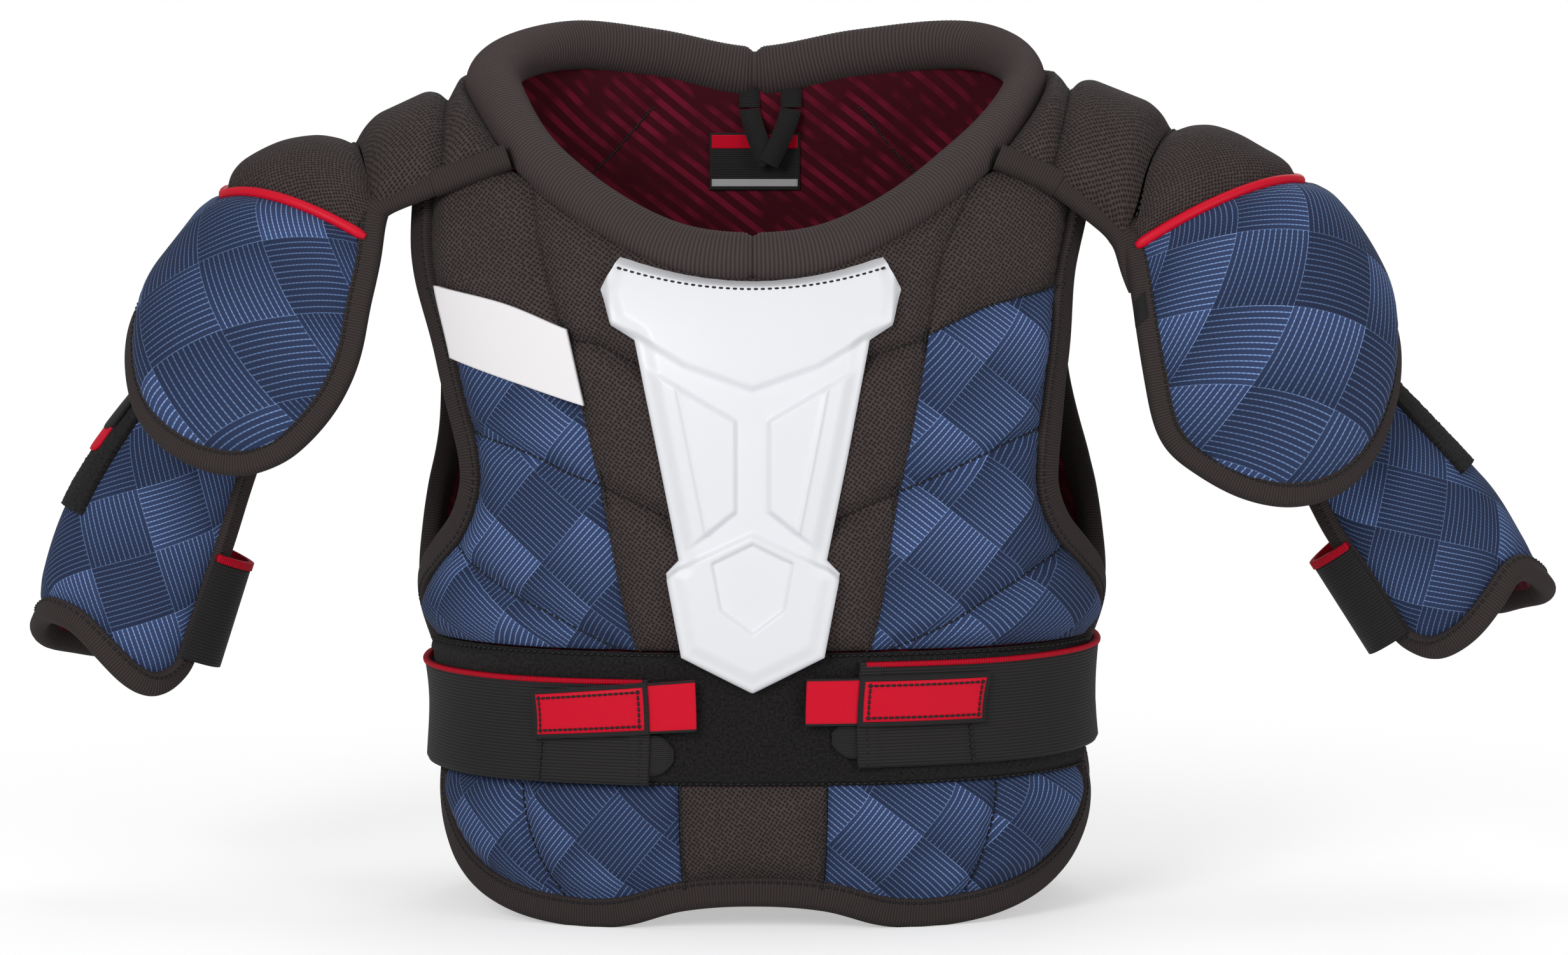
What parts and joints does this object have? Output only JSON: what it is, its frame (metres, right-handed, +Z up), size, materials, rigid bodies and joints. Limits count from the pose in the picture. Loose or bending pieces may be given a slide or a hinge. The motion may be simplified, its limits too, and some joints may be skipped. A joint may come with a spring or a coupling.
{
  "type": "hockey shoulder pads",
  "caption": "Youth ice hockey shoulder pads: quilted front and back on a neck roll, moulded sternum guard, shoulder caps, bicep wraps and elastic belly straps.",
  "frame": {"origin": "on the floor under the two hems, on the torso's centre plane and on the axis of its sections", "axes": "+X to the wearer's left, +Y to the wearer's back, +Z up"},
  "size_m": [0.7084, 0.2373, 0.4124],
  "materials": {
    "mesh": "matte mesh over foam",
    "print": "printed knit over foam",
    "lining": "printed knit on foam",
    "binding": "stitched tape",
    "knit": "ribbed knit over foam",
    "tape": "woven tape",
    "elastic": "woven elastic",
    "loop": "brushed loop",
    "red": "satin",
    "plastic": "satin moulded",
    "guard": "satin moulded"
  },
  "bodies": {
    "back": {"back_lining": "lining", "back_centre_pad": "mesh", "back_left_pad": "print", "back_right_pad": "print", "spine_guard": "guard", "back_binding": "binding", "collar_rear_left": "knit", "collar_rear_right": "knit", "left_yoke": "mesh", "right_yoke": "mesh", "left_yoke_tab": "tape", "right_yoke_tab": "tape", "left_bridge": "mesh", "right_bridge": "mesh", "size_label": "tape"},
    "hanger": {"hanger_loop": "tape"},
    "front": {"front_lining": "lining", "chest_pad": "mesh", "belly_centre_pad": "mesh", "left_shoulder_pad": "mesh", "right_shoulder_pad": "mesh", "left_rib_pad": "print", "right_rib_pad": "print", "left_belly_pad": "print", "right_belly_pad": "print", "loop_band": "loop", "sternum_guard": "plastic", "chest_patch": "plastic", "front_binding": "binding", "collar_front_left": "knit", "collar_front_right": "knit"},
    "left_belly_strap": {"left_strap": "elastic", "left_hook_tip": "tape", "left_pull_tab": "red"},
    "left_shoulder_cap": {"left_cap_top": "mesh", "left_cap_flap": "print", "left_cap_piping": "red", "left_cap_binding": "binding", "left_cap_insert": "plastic", "left_cap_lining": "lining", "left_cap_tag": "tape"},
    "left_bicep": {"left_bicep_pad": "print", "left_bicep_binding": "binding", "left_bicep_patch": "loop", "left_bicep_hanger": "elastic"},
    "left_arm_strap": {"left_bicep_strap": "elastic"},
    "right_belly_strap": {"right_strap": "elastic", "right_hook_tip": "tape", "right_pull_tab": "red"},
    "right_shoulder_cap": {"right_cap_top": "mesh", "right_cap_flap": "print", "right_cap_piping": "red", "right_cap_binding": "binding", "right_cap_insert": "plastic", "right_cap_lining": "lining"},
    "right_bicep": {"right_bicep_pad": "print", "right_bicep_binding": "binding", "right_bicep_patch": "loop", "right_bicep_hanger": "elastic"},
    "right_arm_strap": {"right_bicep_strap": "elastic"}
  },
  "joints": [
    {"name": "front_open", "type": "hinge", "parent": "back", "child": "front", "pos_m": [0, -0.052, 0.362], "axis": [-1, 0, 0], "range_deg": [0, 17]},
    {"name": "left_strap_peel", "type": "hinge", "parent": "back", "child": "left_belly_strap", "pos_m": [0.15718, 0.02833, 0.1], "axis": [0, 0, 1], "range_deg": [0, 69]},
    {"name": "right_strap_peel", "type": "hinge", "parent": "back", "child": "right_belly_strap", "pos_m": [-0.15718, 0.02833, 0.1], "axis": [0, 0, -1], "range_deg": [0, 69]},
    {"name": "hanger_flip", "type": "hinge", "parent": "back", "child": "hanger", "pos_m": [0.004, 0.07046, 0.3705], "axis": [-1, 0, 0], "range_deg": [0, 75]},
    {"name": "left_cap_lift", "type": "hinge", "parent": "back", "child": "left_shoulder_cap", "pos_m": [0.155, 0, 0.348], "axis": [0, -1, 0], "range_deg": [-10, 40], "deforming": ["left_bridge"]},
    {"name": "left_bicep_swing", "type": "hinge", "parent": "left_shoulder_cap", "child": "left_bicep", "pos_m": [0.27011, -0.03261, 0.3001], "axis": [-0.4029, -0.9069, -0.1232], "range_deg": [-15, 7]},
    {"name": "left_arm_strap_open", "type": "hinge", "parent": "left_bicep", "child": "left_arm_strap", "pos_m": [0.28998, -0.03277, 0.1435], "axis": [-0.6148, 0.0523, 0.7869], "range_deg": [0, 45]},
    {"name": "right_cap_lift", "type": "hinge", "parent": "back", "child": "right_shoulder_cap", "pos_m": [-0.155, 0, 0.348], "axis": [0, 1, 0], "range_deg": [-10, 40], "deforming": ["right_bridge"]},
    {"name": "right_bicep_swing", "type": "hinge", "parent": "right_shoulder_cap", "child": "right_bicep", "pos_m": [-0.2634, -0.03872, 0.30314], "axis": [-0.461, 0.8779, 0.1297], "range_deg": [-15, 7]},
    {"name": "right_arm_strap_open", "type": "hinge", "parent": "right_bicep", "child": "right_arm_strap", "pos_m": [-0.25451, -0.03721, 0.13503], "axis": [-0.3902, -0.0523, -0.9192], "range_deg": [0, 45]}
  ],
  "couplings": [
    {"joint": "left_strap_peel", "follows": "front_open", "ratio": 4},
    {"joint": "right_strap_peel", "follows": "front_open", "ratio": 4}
  ]
}
